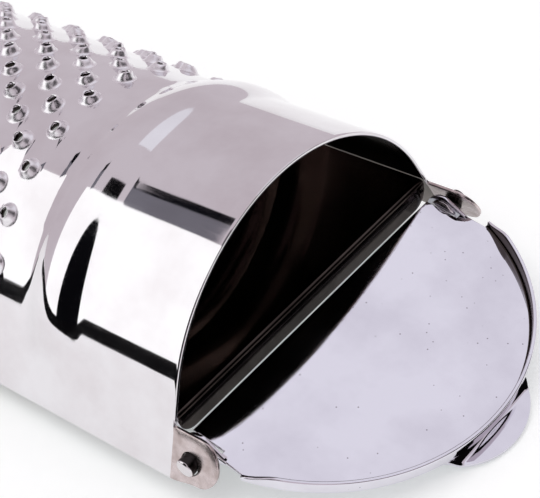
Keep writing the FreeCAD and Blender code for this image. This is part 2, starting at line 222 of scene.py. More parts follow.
class SheetMesh:
    """Closed mesh of a metal sheet: each point has a place on the outer and on the inner skin."""

    def __init__(self, coats: tuple[int, int] = (0, 0)) -> None:
        """Start with no points.

        Args:
            coats: material numbers of the outer and of the inner skin, unless a grid says otherwise.
        """
        self.coats = coats
        self.outer: list[Vector] = []
        self.inner: list[Vector] = []
        self.faces: list[tuple[tuple[int, ...], tuple[int, int]]] = []
        self.torn: set[int] = set()
        self.found: dict[tuple[int, int, int], int] = {}

    def point(self, outer: Vector, inner: Vector, torn: bool = False) -> int:
        """Add a point, or find the one that is already there.

        Args:
            outer: its place on the outer skin, in millimetres.
            inner: its place on the inner skin, in millimetres.
            torn: whether it lies on a torn lip, which gets no rounded edge.

        Returns:
            The point's number.
        """
        key = tuple(round(value / MERGE_MM) for value in outer)
        if key not in self.found:
            self.found[key] = len(self.outer)
            self.outer.append(outer)
            self.inner.append(inner)
        if torn:
            self.torn.add(self.found[key])
        return self.found[key]

    def grid(self, rows: Sequence[Sequence[int]], closed: bool = False,
             coats: Optional[tuple[int, int]] = None) -> None:
        """Join rows of points with faces, leaving out a corner that repeats.

        Args:
            rows: rows of point numbers, all of one length.
            closed: whether each row runs round to its own start.
            coats: material numbers of the outer and of the inner skin here.
        """
        for low, high in zip(rows, rows[1:]):
            count = len(low)
            for i in range(count if closed else count - 1):
                j = (i + 1) % count
                corners = tuple(dict.fromkeys((low[i], low[j], high[j], high[i])))
                if len(corners) > 2:
                    self.faces.append((corners, coats or self.coats))

    def build(self, name: str, edge_round: float = 0.09) -> bpy.types.Object:
        """Close the skins along their free edges and round those edges.

        Args:
            name: the new piece's name.
            edge_round: width of the rounding, in millimetres.

        Returns:
            The piece, in metres.
        """
        mesh = bmesh.new()
        outer = [mesh.verts.new(place * MM) for place in self.outer]
        inner = [mesh.verts.new(place * MM) for place in self.inner]
        border: dict[tuple[int, int], Optional[tuple[int, int]]] = {}
        for corners, coats in self.faces:
            front = mesh.faces.new([outer[i] for i in corners])
            back = mesh.faces.new([inner[i] for i in reversed(corners)])
            front.material_index, back.material_index = coats
            for a, b in zip(corners, corners[1:] + corners[:1]):
                key = (min(a, b), max(a, b))
                border[key] = None if key in border else (a, b)
        rounded = []
        for pair in border.values():
            if pair is None:
                continue
            a, b = pair
            mesh.faces.new((outer[b], outer[a], inner[a], inner[b]))
            if a not in self.torn:
                rounded.append(mesh.edges.get((outer[a], outer[b])))
                rounded.append(mesh.edges.get((inner[a], inner[b])))
        bmesh.ops.recalc_face_normals(mesh, faces=mesh.faces)
        bmesh.ops.bevel(mesh, geom=rounded, offset=edge_round * MM, segments=2, profile=0.5,
                        affect="EDGES", clamp_overlap=True)
        return finished(mesh, name)


def finished(mesh: bmesh.types.BMesh, name: str) -> bpy.types.Object:
    """Make a smooth-shaded object from a mesh under construction.

    Args:
        mesh: the mesh, which is freed.
        name: the new object's name.

    Returns:
        The object, linked to the scene.
    """
    for face in mesh.faces:
        face.smooth = True
    data = bpy.data.meshes.new(name)
    mesh.to_mesh(data)
    mesh.free()
    piece = bpy.data.objects.new(name, data)
    bpy.context.scene.collection.objects.link(piece)
    weighted = piece.modifiers.new("flat_faces_first", "WEIGHTED_NORMAL")
    weighted.weight = 80
    return piece


def spread(start: float, end: float, count: int) -> list[float]:
    """Evenly spaced values.

    Args:
        start: the first value.
        end: the last value.
        count: how many steps lie between them.

    Returns:
        count + 1 values.
    """
    return [start + (end - start) * i / count for i in range(count + 1)]


def ease(value: float) -> float:
    """Smooth step from 0 to 1 for a value from 0 to 1, held outside."""
    value = min(1.0, max(0.0, value))
    return value * value * (3 - 2 * value)


def polyline(corners: Sequence[Point2], step: float) -> list[Point2]:
    """Points along straight runs.

    Args:
        corners: the runs' ends.
        step: the largest distance between points.

    Returns:
        The corners with points between them, the last corner left out.
    """
    points = []
    for a, b in zip(corners, corners[1:]):
        count = max(1, math.ceil(math.dist(a, b) / step))
        points.extend((a[0] + (b[0] - a[0]) * i / count, a[1] + (b[1] - a[1]) * i / count)
                      for i in range(count))
    return points


@dataclass(frozen=True)
class Arch:
    """Cross-section of the body: an arc over the top and two leaning walls, in millimetres."""

    width: float = 46.0
    height: float = 21.5
    lean: float = 23.0

    @property
    def radius(self) -> float:
        """Find the arc that touches the crown and both walls.

        Returns:
            Its radius.
        """
        lean = math.radians(self.lean)
        return ((self.width / 2 * math.cos(lean) - self.height * math.sin(lean))
                / (1 - math.sin(lean)))

    @property
    def middle(self) -> float:
        """Height of the arc's centre."""
        return self.height - self.radius

    @property
    def turn(self) -> float:
        """Angle from the crown to where a wall starts, in radians."""
        return math.radians(90 - self.lean)

    def wall_length(self, low: float) -> float:
        """Length of a wall from its start down to a height."""
        start = self.middle + self.radius * math.cos(self.turn)
        return (start - low) / math.cos(math.radians(self.lean))

    def along(self, degrees: float) -> float:
        """Distance from the crown, along the skin, of an angle on the arc."""
        return self.radius * math.radians(degrees)

    def place(self, x: float, along: float, off: float) -> Vector:
        """A point on or near the skin.

        Args:
            x: its place along the body.
            along: distance from the crown along the skin, positive towards +Y.
            off: height above the skin.

        Returns:
            The point.
        """
        side = math.copysign(1.0, along)
        reach = abs(along)
        limit = self.radius * self.turn
        angle = min(reach, limit) / self.radius
        out = Vector((0.0, side * math.sin(angle), math.cos(angle)))
        foot = Vector((x, 0.0, self.middle)) + out * (self.radius + off)
        if reach > limit:
            foot += Vector((0.0, side * math.cos(angle), -math.sin(angle))) * (reach - limit)
        return foot


@dataclass(frozen=True)
class Hinge:
    """Hinge axis and how far the lid lies open."""

    out: float = 2.3
    up: float = 2.4
    open_degrees: float = 103.5

    def matrix(self) -> Matrix:
        """Move from the shut lid's own frame, with the hinge at its origin, to the open lid."""
        turn = Matrix.Rotation(math.radians(self.open_degrees), 4, "Y")
        return Matrix.Translation((self.out, 0.0, self.up)) @ turn


def add_eyed_plate(sheet: SheetMesh, outline: Sequence[Point2], eye: Point2, radius: float,
                   place: Placer) -> None:
    """Add a flat plate with one round hole, whose outline is seen whole from the hole's centre.

    Args:
        sheet: the mesh to add to.
        outline: the plate's outline, in order.
        eye: centre of the hole.
        radius: radius of the hole.
        place: gives the outer and inner place of a flat point.
    """
    rings = []
    for share in (0.0, 0.45, 0.8, 1.0):
        ring = []
        for corner in outline:
            reach = math.dist(corner, eye)
            x = eye[0] + (corner[0] - eye[0]) * (1 - share + share * radius / reach)
            z = eye[1] + (corner[1] - eye[1]) * (1 - share + share * radius / reach)
            ring.append(sheet.point(*place(x, z)))
        rings.append(ring)
    sheet.grid(rings, closed=True)


@dataclass(frozen=True)
class Tooth:
    """One punched tooth: a raised cone with a torn lip, in millimetres."""

    radius: float = 1.14
    height: float = 0.86
    lowest_share: float = 0.88
    highest_share: float = 1.05
    lip_radius: float = 0.58
    hole_radius: float = 0.51
    tear: float = 0.08
    side_lean: float = 0.16


@dataclass
class StampedBody:
    """The half-round body with its beads, teeth and hinge ears."""

    arch: Arch = field(default_factory=Arch)
    hinge: Hinge = field(default_factory=Hinge)
    tooth: Tooth = field(default_factory=Tooth)
    length: float = 138.0
    sheet: float = 0.4
    bead_start: float = 13.1
    bead_width: float = 7.8
    bead_rise: float = 0.72
    waist: float = 0.30
    waist_start: float = 19.4
    waist_length: float = 2.6
    crease: float = 21.7
    crease_half_width: float = 0.5
    crease_depth: float = 0.07
    crease_dot: float = 1.15
    end_bead: float = 133.0
    end_bead_width: float = 5.0
    end_bead_rise: float = 0.42
    end_waist_length: float = 4.0
    ear_reach: float = 5.8
    ear_height: float = 5.2
    ear_foot: float = 0.5
    pin_hole: float = 1.08
    field_start: float = 26.5
    rows: int = 34
    pitch: float = 3.1
    step: float = 14.2
    spread_degrees: float = 57.0
    cut: int = 6
    seed: int = 7

    def lift(self, x: float, along: float) -> float:
        """Height of the beads and the crease above the plain skin.

        Args:
            x: place along the body.
            along: distance from the crown along the skin.

        Returns:
            Height in millimetres.
        """
        depth = -x
        rise = -self.waist * ease((depth - self.waist_start) / self.waist_length)
        if self.bead_start < depth < self.bead_start + self.bead_width:
            share = ((depth - self.bead_start) / self.bead_width) ** 1.05
            rise += self.bead_rise * math.sin(math.pi * share) ** 1.5
        offset = (depth - self.crease) / self.crease_half_width
        if abs(offset) < 1:
            dots = 0.55 + 0.45 * math.cos(2 * math.pi * along / self.crease_dot)
            dots *= 1 - ease((abs(along) / self.arch.radius - 0.55) / 0.3)
            rise -= self.crease_depth * (1 - offset * offset) ** 2 * dots
        rise += self.waist * ease((depth - self.end_bead) / self.end_waist_length)
        offset = (depth - self.end_bead) / (self.end_bead_width / 2)
        if abs(offset) < 1:
            rise += self.end_bead_rise * (1 - offset * offset) ** 2
        limit = self.arch.radius * self.arch.turn
        fade = 1 - ease((abs(along) - limit * 0.93) / (limit * 0.38))
        return rise * fade

    def skin_point(self, sheet: SheetMesh, x: float, along: float) -> int:
        """Add a point of the plain or beaded skin.

        Args:
            sheet: the mesh to add to.
            x: place along the body.
            along: distance from the crown along the skin.

        Returns:
            The point's number.
        """
        rise = self.lift(x, along)
        return sheet.point(self.arch.place(x, along, rise),
                           self.arch.place(x, along, rise - self.sheet))

    def wall_marks(self) -> list[float]:
        """Set the mesh lines between the teeth and the bottom edge.

        Returns:
            Their distances from the crown.
        """
        limit = self.arch.radius * self.arch.turn
        first = self.arch.along(self.step * 4.5)
        ear_top = limit + self.arch.wall_length(self.ear_height)
        bottom = limit + self.arch.wall_length(0.0)
        return (spread(first, limit, 2)[:-1] + spread(limit, ear_top, 5)[:-1]
                + spread(ear_top, bottom, 8))

    def crown_marks(self) -> list[float]:
        """Distances from the crown of the mesh lines over the toothed arch."""
        reach = self.arch.along(self.step * 4.5)
        return spread(-reach, reach, 9 * self.cut)

    def add_tooth(self, sheet: SheetMesh, x: float, angle: float, chance: random.Random) -> None:
        """Add one cell of the toothed field: the sheet round a tooth, and the tooth.

        Args:
            sheet: the mesh to add to.
            x: the tooth's place along the body.
            angle: its angle from the crown, in degrees.
            chance: where the tears come from.
        """
        half_x = self.pitch / 2
        half_s = self.arch.along(self.step / 2)
        centre = self.arch.along(angle)
        loop = polyline([(-half_x, -half_s), (half_x, -half_s)], 2 * half_x / self.cut + 1e-6)
        loop += polyline([(half_x, -half_s), (half_x, half_s)], 2 * half_s / self.cut + 1e-6)
        loop += polyline([(half_x, half_s), (-half_x, half_s)], 2 * half_x / self.cut + 1e-6)
        loop += polyline([(-half_x, half_s), (-half_x, -half_s)], 2 * half_s / self.cut + 1e-6)
        ring = [self.skin_point(sheet, x + dx, centre + ds) for dx, ds in loop]
        count = len(loop)
        first_corner = math.radians(225)
        tooth = self.tooth
        height = tooth.height * chance.uniform(tooth.lowest_share, tooth.highest_share)
        lean_way = chance.uniform(0, 2 * math.pi)
        tear_way = chance.uniform(0, 2 * math.pi)
        tear_phase = chance.uniform(0, 2 * math.pi)
        # Outer radius, outer height, inner radius, inner height, and how far the tear shows.
        profile = [
            (tooth.radius + 0.22, 0.0, tooth.radius + 0.18, -self.sheet, 0.0),
            (tooth.radius + 0.05, 0.07 * height, tooth.radius - 0.12, -self.sheet + 0.04, 0.0),
            (tooth.radius - 0.10, 0.27 * height, tooth.radius - 0.34, -self.sheet + 0.20, 0.0),
            (tooth.radius - 0.22, 0.52 * height, tooth.radius - 0.50, -0.04, 0.1),
            (tooth.radius - 0.34, 0.76 * height, tooth.radius - 0.60, 0.18, 0.3),
            (tooth.lip_radius + 0.10, 0.94 * height, tooth.hole_radius + 0.02, 0.36, 0.7),
            (tooth.lip_radius, height, tooth.hole_radius, 0.50, 1.0),
        ]
        base = self.lift(x, centre)
        rings = [ring]
        for out_r, out_h, in_r, in_h, tear in profile:
            made = []
            for k in range(count):
                a = first_corner + 2 * math.pi * k / count
                rag = tooth.tear * tear * (math.cos(3 * a + tear_phase) * 0.6
                                           + math.cos(a - tear_way))
                lean = tooth.side_lean * out_h / tooth.height
                dx = lean * math.cos(lean_way)
                ds = lean * math.sin(lean_way)
                rise = base + out_h + rag * height
                outer = self.arch.place(x + dx + (out_r + rag * 0.5) * math.cos(a),
                                        centre + ds + (out_r + rag * 0.5) * math.sin(a), rise)
                inner = self.arch.place(x + dx + (in_r + rag * 0.4) * math.cos(a),
                                        centre + ds + (in_r + rag * 0.4) * math.sin(a),
                                        base + in_h + rag * height)
                made.append(sheet.point(outer, inner, torn=tear == 1.0))
            rings.append(made)
        sheet.grid(rings[:2], closed=True)
        # The cones' insides wear the material painted nearly black as shade.
        sheet.grid(rings[1:], closed=True, coats=(3, 4))

    def add_field(self, sheet: SheetMesh) -> None:
        """Add the toothed field: rows of cells, every second row shifted by half a cell.

        Args:
            sheet: the mesh to add to.
        """
        chance = random.Random(self.seed)
        for row in range(self.rows):
            x = -(self.field_start + row * self.pitch)
            lines = spread(x + self.pitch / 2, x - self.pitch / 2, self.cut)
            shift = 0.5 * (row % 2)
            for k in range(-5, 5):
                angle = (k + shift) * self.step
                if abs(angle) <= self.spread_degrees:
                    self.add_tooth(sheet, x, angle, chance)
            if row % 2:
                for side in (-1, 1):
                    low, high = side * self.step * 4, side * self.step * 4.5
                    marks = [self.arch.along(a) for a in spread(low, high, self.cut // 2)]
                    sheet.grid([[self.skin_point(sheet, at, s) for s in marks] for at in lines])
            for side in (-1, 1):
                marks = [side * s for s in self.wall_marks()]
                sheet.grid([[self.skin_point(sheet, at, s) for s in marks] for at in lines])

    def add_plain(self, sheet: SheetMesh, lines: Sequence[float]) -> None:
        """Add a stretch of body without teeth, over its whole width.

        Args:
            sheet: the mesh to add to.
            lines: places along the body of its mesh lines.
        """
        walls = self.wall_marks()
        marks = [-s for s in reversed(walls)] + self.crown_marks()[1:-1] + walls
        sheet.grid([[self.skin_point(sheet, x, s) for s in marks] for x in lines])

    def add_ear(self, sheet: SheetMesh, side: int) -> None:
        """Add one hinge ear, which goes on from the wall past the open end.

        Args:
            sheet: the mesh to add to.
            side: 1 for the far ear, -1 for the near one.
        """
        limit = self.arch.radius * self.arch.turn
        lean = math.cos(math.radians(self.arch.lean))
        edge = [s for s in self.wall_marks() if s > limit + self.arch.wall_length(self.ear_height) - 1e-6]
        heights = [(self.arch.wall_length(0.0) + limit - s) * lean for s in edge]
        round_end = (self.ear_height - self.ear_foot) / 2
        tip = self.ear_reach - round_end
        middle = self.ear_foot + round_end
        outline = [(0.0, z) for z in heights]
        outline += [(tip * t, self.ear_foot * ease(t)) for t in spread(0.0, 1.0, 8)[1:-1]]
        outline += [(tip + round_end * math.sin(a), middle - round_end * math.cos(a))
                    for a in spread(0.0, math.pi, 20)]
        outline += polyline([(tip, self.ear_height), (0.0, self.ear_height)], 0.6)[1:]

        def place(x: float, z: float) -> tuple[Vector, Vector]:
            """Outer and inner place of a point of the ear."""
            along = side * (limit + self.arch.wall_length(0.0) - z / lean)
            return self.arch.place(x, along, 0.0), self.arch.place(x, along, -self.sheet)

        add_eyed_plate(sheet, outline, (self.hinge.out, self.hinge.up), self.pin_hole, place)

    def build(self, finish: bpy.types.Material, lining: bpy.types.Material,
              worn_shaded_ears: bpy.types.Material, stretched: bpy.types.Material,
              black_shade_coat: bpy.types.Material) -> bpy.types.Object:
        """Build the body's mesh.

        Args:
            finish: the material it wears outside.
            lining: the material it wears inside, its dark brownish tint painted shade.
            worn_shaded_ears: the material of the ears, its darker tint painted shade.
            stretched: the material of the teeth.
            black_shade_coat: the material inside the teeth, painted nearly black as shade.

        Returns:
            The finished piece.
        """
        # The inner skin wears the lining, tinted dark and brownish as painted shade.
        sheet = SheetMesh(coats=(0, 1))
        start = -(self.field_start - self.pitch / 2)
        end = start - self.rows * self.pitch
        bead = spread(-(self.bead_start - 0.4), -(self.crease + 1.3), 40)
        self.add_plain(sheet, [0.0, -0.4] + spread(-2.0, -10.5, 4) + bead + [start + 0.9, start])
        self.add_field(sheet)
        self.add_plain(sheet, [end] + spread(end - 0.15, -(self.length - 0.5), 22) + [-self.length])
        self.add_ear(sheet, 1)
        self.add_ear(sheet, -1)
        piece = sheet.build("stamped_body")
        for coat in (finish, lining, worn_shaded_ears, stretched, black_shade_coat):
            piece.data.materials.append(coat)
        for face in piece.data.polygons:
            # Faces past the open end are the ears, whose darker tint is painted shade.
            past_the_open_end = face.center.x > 0.1 * MM
            if past_the_open_end:
                face.material_index = 2
        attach(piece, "grater_body")
        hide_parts("grater_shell")
        return piece


@dataclass
class StorageBox:
    """Floor of the compartment, with its folded lip, and the partition behind it."""

    arch: Arch = field(default_factory=Arch)
    depth: float = 20.0
    up: float = 5.8
    sheet: float = 0.4
    setback: float = 0.1
    lip: float = 2.9
    corner: float = 2.0
    gap: float = 0.03
    shell_sheet: float = 0.4
    bend: float = 0.55

    def half_width(self) -> float:
        """Measure between the walls at the floor's height.

        Returns:
            Half the clear width.
        """
        lean = math.radians(self.arch.lean)
        return (self.arch.width / 2 - self.up * math.tan(lean)
                - self.shell_sheet / math.cos(lean) - self.gap)

    def build_floor(self, finish: bpy.types.Material, black_shade_coat: bpy.types.Material) -> bpy.types.Object:
        """Build the floor plate, its bend and the lip with round corners.

        Args:
            finish: the material of its flat plate.
            black_shade_coat: the material of its bend and lip, painted nearly black as shade and dark
                reflection.

        Returns:
            The finished piece.
        """
        sheet = SheetMesh()
        half = self.half_width()
        bend_out, bend_in = self.bend, self.bend - self.sheet
        front = -self.setback
        rows = []
        flat = 12
        for x in spread(-self.depth, front - bend_out, flat):
            rows.append((Vector((x, 0, self.up)), Vector((x, 0, self.up - self.sheet)), half))
        for a in spread(0.0, math.pi / 2, 6)[1:]:
            middle = Vector((front - bend_out, 0, self.up - bend_out))
            out = Vector((math.sin(a), 0, math.cos(a)))
            rows.append((middle + out * bend_out, middle + out * bend_in, half))
        low = self.up - self.lip
        for z in spread(self.up - bend_out, low + self.corner, 2)[1:]:
            rows.append((Vector((front, 0, z)), Vector((front - self.sheet, 0, z)), half))
        for a in spread(0.0, math.pi / 2, 8)[1:]:
            z = low + self.corner * (1 - math.sin(a))
            width = half - self.corner * (1 - math.cos(a))
            rows.append((Vector((front, 0, z)), Vector((front - self.sheet, 0, z)), width))
        shares = spread(-1.0, 1.0, 30)
        points = [[sheet.point(out + Vector((0, t * width, 0)), back + Vector((0, t * width, 0)))
                   for t in shares] for out, back, width in rows]
        sheet.grid(points[:flat + 1])
        # The bend and lip wear the material painted nearly black as shade and dark reflection.
        sheet.grid(points[flat:], coats=(1, 1))
        piece = sheet.build("compartment_floor", 0.08)
        piece.data.materials.append(finish)
        piece.data.materials.append(black_shade_coat)
        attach(piece, "grater_body")
        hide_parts("storage_floor")
        return piece

    def dress_partition(self, finish: bpy.types.Material) -> bpy.types.Object:
        """Give the partition its finish; its own shape stays.

        Args:
            finish: the material it wears.

        Returns:
            The partition.
        """
        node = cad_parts["storage_partition"]
        node.data.materials.clear()
        node.data.materials.append(finish)
        return node


@dataclass
class FlipLid:
    """The lid: plate with a rim, tongue and lugs, the thumb tab, and the two hinge pins."""

    arch: Arch = field(default_factory=Arch)
    hinge: Hinge = field(default_factory=Hinge)
    sheet: float = 0.4
    seat: float = 1.4
    rim_gap: float = 0.6
    rim_height: float = 1.5
    bend: float = 0.6
    rim_start: float = 5.2
    heel: float = 1.9
    tongue_half: float = 19.26
    tongue_top: float = 2.0
    lug_out: float = 20.16
    lug_top: float = 3.0
    lug_radius: float = 2.1
    pin_radius: float = 1.0
    head_radius: float = 1.6
    head_depth: float = 0.4
    head_dome: float = 0.22
    pin_end: float = 22.98
    pin_dome: float = 0.32
    tab_weld: float = 5.6
    tab_proud: float = 2.2
    tab_drop: float = 0.5
    tab_round: float = 8.2
    tab_step_start: float = 1.2
    rim_fade: float = 0.16
    crown: float = 0.17

    @property
    def face(self) -> float:
        """Place of the plate's inner face in the shut lid's frame."""
        return self.seat - self.hinge.out

    @property
    def middle(self) -> float:
        """Height of the rim's centre above the hinge."""
        return self.arch.middle - self.hinge.up

    @property
    def rim_out(self) -> float:
        """Outer radius of the rim."""
        return self.arch.radius + self.rim_gap + self.sheet

    def opened(self, x: float, y: float, z: float) -> Vector:
        """Where a point of the shut lid lies on the open one."""
        return self.hinge.matrix() @ Vector((x, y, z))

    def swell(self, y: float, z: float) -> float:
        """How far the thin plate bulges towards the compartment at a point.

        Args:
            y: the point's place across the plate.
            z: its height above the hinge.

        Returns:
            The bulge in millimetres, nothing along the plate's edges.
        """
        knee = self.rim_out - self.bend
        top = self.middle + math.sqrt(max(0.0, knee * knee - y * y))
        share = min(1.0, max(0.0, (z + self.heel) / max(top + self.heel, 0.1)))
        side = math.sqrt(max(0.0, 1 - (y / knee) ** 2))
        return self.crown * math.sin(math.pi * share) * side

    def plate_point(self, sheet: SheetMesh, y: float, z: float) -> int:
        """Add a point of the plate's bulged face.

        Args:
            sheet: the mesh to add to.
            y: the point's place across the plate.
            z: its height above the hinge.

        Returns:
            The point's number.
        """
        swell = self.swell(y, z)
        return sheet.point(self.opened(self.face + self.sheet - swell, y, z),
                           self.opened(self.face - swell, y, z))

    def build_plate(self, finish: bpy.types.Material, rim_black_shade: bpy.types.Material) -> bpy.types.Object:
        """Build the plate with its rounded bend, rim and tongue.

        Args:
            finish: the material it wears.
            rim_black_shade: the material inside the rim, painted nearly black as shade.

        Returns:
            The finished piece.
        """
        sheet = SheetMesh()
        shares = spread(-1.0, 1.0, 32)
        core = self.tongue_half / self.lug_out
        knee = self.rim_out - self.bend
        start = math.acos((self.rim_start - self.middle) / self.rim_out)
        heights = [(z, self.tongue_half) for z in spread(-self.heel, self.tongue_top, 5)]
        sheet.grid([[self.plate_point(sheet, t * half, z) for t in shares] for z, half in heights])
        upper = [(z, self.lug_out) for z in spread(self.tongue_top, self.lug_top, 3)]
        angles = spread(start, 0.0, 40)
        upper += [(self.middle + knee * math.cos(a), knee * math.sin(a)) for a in angles]
        rows = []
        for z, half in upper:
            inside = [self.plate_point(sheet, t * half * core, z) for t in shares]
            rows.append([self.plate_point(sheet, -half, z), *inside, self.plate_point(sheet, half, z)])
        sheet.grid(rows)
        rim = []
        for a in spread(-start, start, 80):
            out = Vector((0.0, math.sin(a), math.cos(a)))
            row = [self.plate_point(sheet, out.y * knee, self.middle + out.z * knee)]
            steps = [(self.bend * math.sin(b), self.bend * math.cos(b),
                      (self.bend - self.sheet) * math.sin(b), (self.bend - self.sheet) * math.cos(b))
                     for b in spread(0.0, math.pi / 2, 6)[1:]]
            flat = self.bend - self.sheet
            # The rim runs out to a quarter of its height at both ends of the arc.
            full = ease((start - abs(a)) / self.rim_fade)
            tall = (self.rim_height - flat) * (0.25 + 0.75 * full)
            steps += [(self.bend, -s, flat, -s) for s in spread(0.0, tall, 3)[1:]]
            base = self.face - flat
            for out_r, out_x, in_r, in_x in steps:
                outer = (base + out_x, out.y * (knee + out_r), self.middle + out.z * (knee + out_r))
                inner = (base + in_x, out.y * (knee + in_r), self.middle + out.z * (knee + in_r))
                row.append(sheet.point(self.opened(*outer), self.opened(*inner)))
            rim.append(row)
        # The rim's inner skin wears the material painted nearly black as shade.
        sheet.grid(rim, coats=(0, 1))
        plate = sheet.build("lid_dish")
        plate.data.materials.append(finish)
        plate.data.materials.append(rim_black_shade)
        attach(plate, "lid")
        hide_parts("lid_plate")
        return plate

    def build_lug(self, side: int, label: str, finish: bpy.types.Material) -> bpy.types.Object:
        """Build one lug, the ear of the lid that a pin goes through.

        Args:
            side: 1 for the far lug, -1 for the near one.
            label: the word for that side in the piece's name.
            finish: the material it wears.

        Returns:
            The lug.
        """
        sheet = SheetMesh()
        r = self.lug_radius
        outline = [(r * math.cos(a), r * math.sin(a)) for a in spread(math.pi, 2 * math.pi, 24)]
        outline += polyline([(r, 0.0), (self.face + self.sheet, self.lug_top),
                             (self.face, self.lug_top), (-r, 0.0)], 0.5)[1:]

        def place(x: float, z: float) -> tuple[Vector, Vector]:
            """Outer and inner place of a point of the lug."""
            return (self.opened(x, side * self.lug_out, z),
                    self.opened(x, side * (self.lug_out - self.sheet), z))

        add_eyed_plate(sheet, outline, (0.0, 0.0), self.pin_radius, place)
        lug = sheet.build("lid_lug_" + label, 0.06)
        lug.data.materials.append(finish)
        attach(lug, "lid")
        return lug

    def build_tab(self, finish: bpy.types.Material) -> bpy.types.Object:
        """Build the thumb tab: welded under the crown, stepped away, with a round end.

        Args:
            finish: the material it wears.

        Returns:
            The finished piece.
        """
        crown = self.middle + self.rim_out
        end = crown + self.tab_proud
        back = self.face + self.sheet
        low = crown - self.tab_weld
        centre = end - self.tab_round
        first = math.asin((low - centre) / self.tab_round)
        shares = spread(-1.0, 1.0, 20)
        sheet = SheetMesh()
        rows = []
        for a in spread(first, math.pi / 2, 36):
            z = centre + self.tab_round * math.sin(a)
            half = self.tab_round * math.cos(a)
            share = (z - (crown - self.tab_step_start)) / (self.tab_drop + 0.5)
            step = self.tab_drop * ease(share)
            slope = 0.5 * math.sin(math.pi * min(1.0, max(0.0, share)))
            rows.append([sheet.point(self.opened(back + step + self.sheet, t * half, z - slope * 0.3),
                                     self.opened(back + step, t * half, z)) for t in shares])
        sheet.grid(rows)
        piece = sheet.build("thumb_tab", 0.08)
        piece.data.materials.append(finish)
        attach(piece, "lid")
        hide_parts("lid_thumb_tab")
        return piece

    def build_pin(self, side: int, label: str, finish: bpy.types.Material,
                  shank_black_shade: bpy.types.Material) -> bpy.types.Object:
        """Build one hinge pin: domed head inside, shank, and a domed end outside the ear.

        Args:
            side: 1 for the far pin, -1 for the near one.
            label: the word for that side in the names.
            finish: the material of its ends.
            shank_black_shade: the material of its shank, painted nearly black as shade.

        Returns:
            The finished piece.
        """
        lug_in = self.lug_out - self.sheet
        head = lug_in - self.head_depth
        dome = [(head + self.head_dome * (1 - math.cos(a)), self.head_radius * math.sin(a))
                for a in spread(0.0, math.pi / 2, 6)]
        tip = [(self.pin_end - self.pin_dome * (1 - math.cos(a)), self.pin_radius * math.sin(a))
               for a in spread(math.pi / 2, 0.0, 6)]
        profile = dome + [(lug_in, self.head_radius), (lug_in, self.pin_radius)] + tip
        mesh = bmesh.new()
        count = 32
        rings = []
        for y, r in profile:
            reach = 1 if r < 1e-6 else count
            rings.append([mesh.verts.new(self.opened(r * math.cos(2 * math.pi * k / count), side * y,
                                                     r * math.sin(2 * math.pi * k / count)) * MM)
                          for k in range(reach)])
        for low, high in zip(rings, rings[1:]):
            for k in range(count):
                corners = [low[k % len(low)], low[(k + 1) % len(low)],
                           high[(k + 1) % len(high)], high[k % len(high)]]
                face = mesh.faces.new(list(dict.fromkeys(corners)))
                # The shank wears the material painted nearly black as shade.
                face.material_index = int(low is rings[len(dome) + 1])
        bmesh.ops.recalc_face_normals(mesh, faces=mesh.faces)
        piece = finished(mesh, "domed_pin_" + label)
        piece.data.materials.append(finish)
        piece.data.materials.append(shank_black_shade)
        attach(piece, "lid")
        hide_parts("hinge_pin_" + label)
        return piece


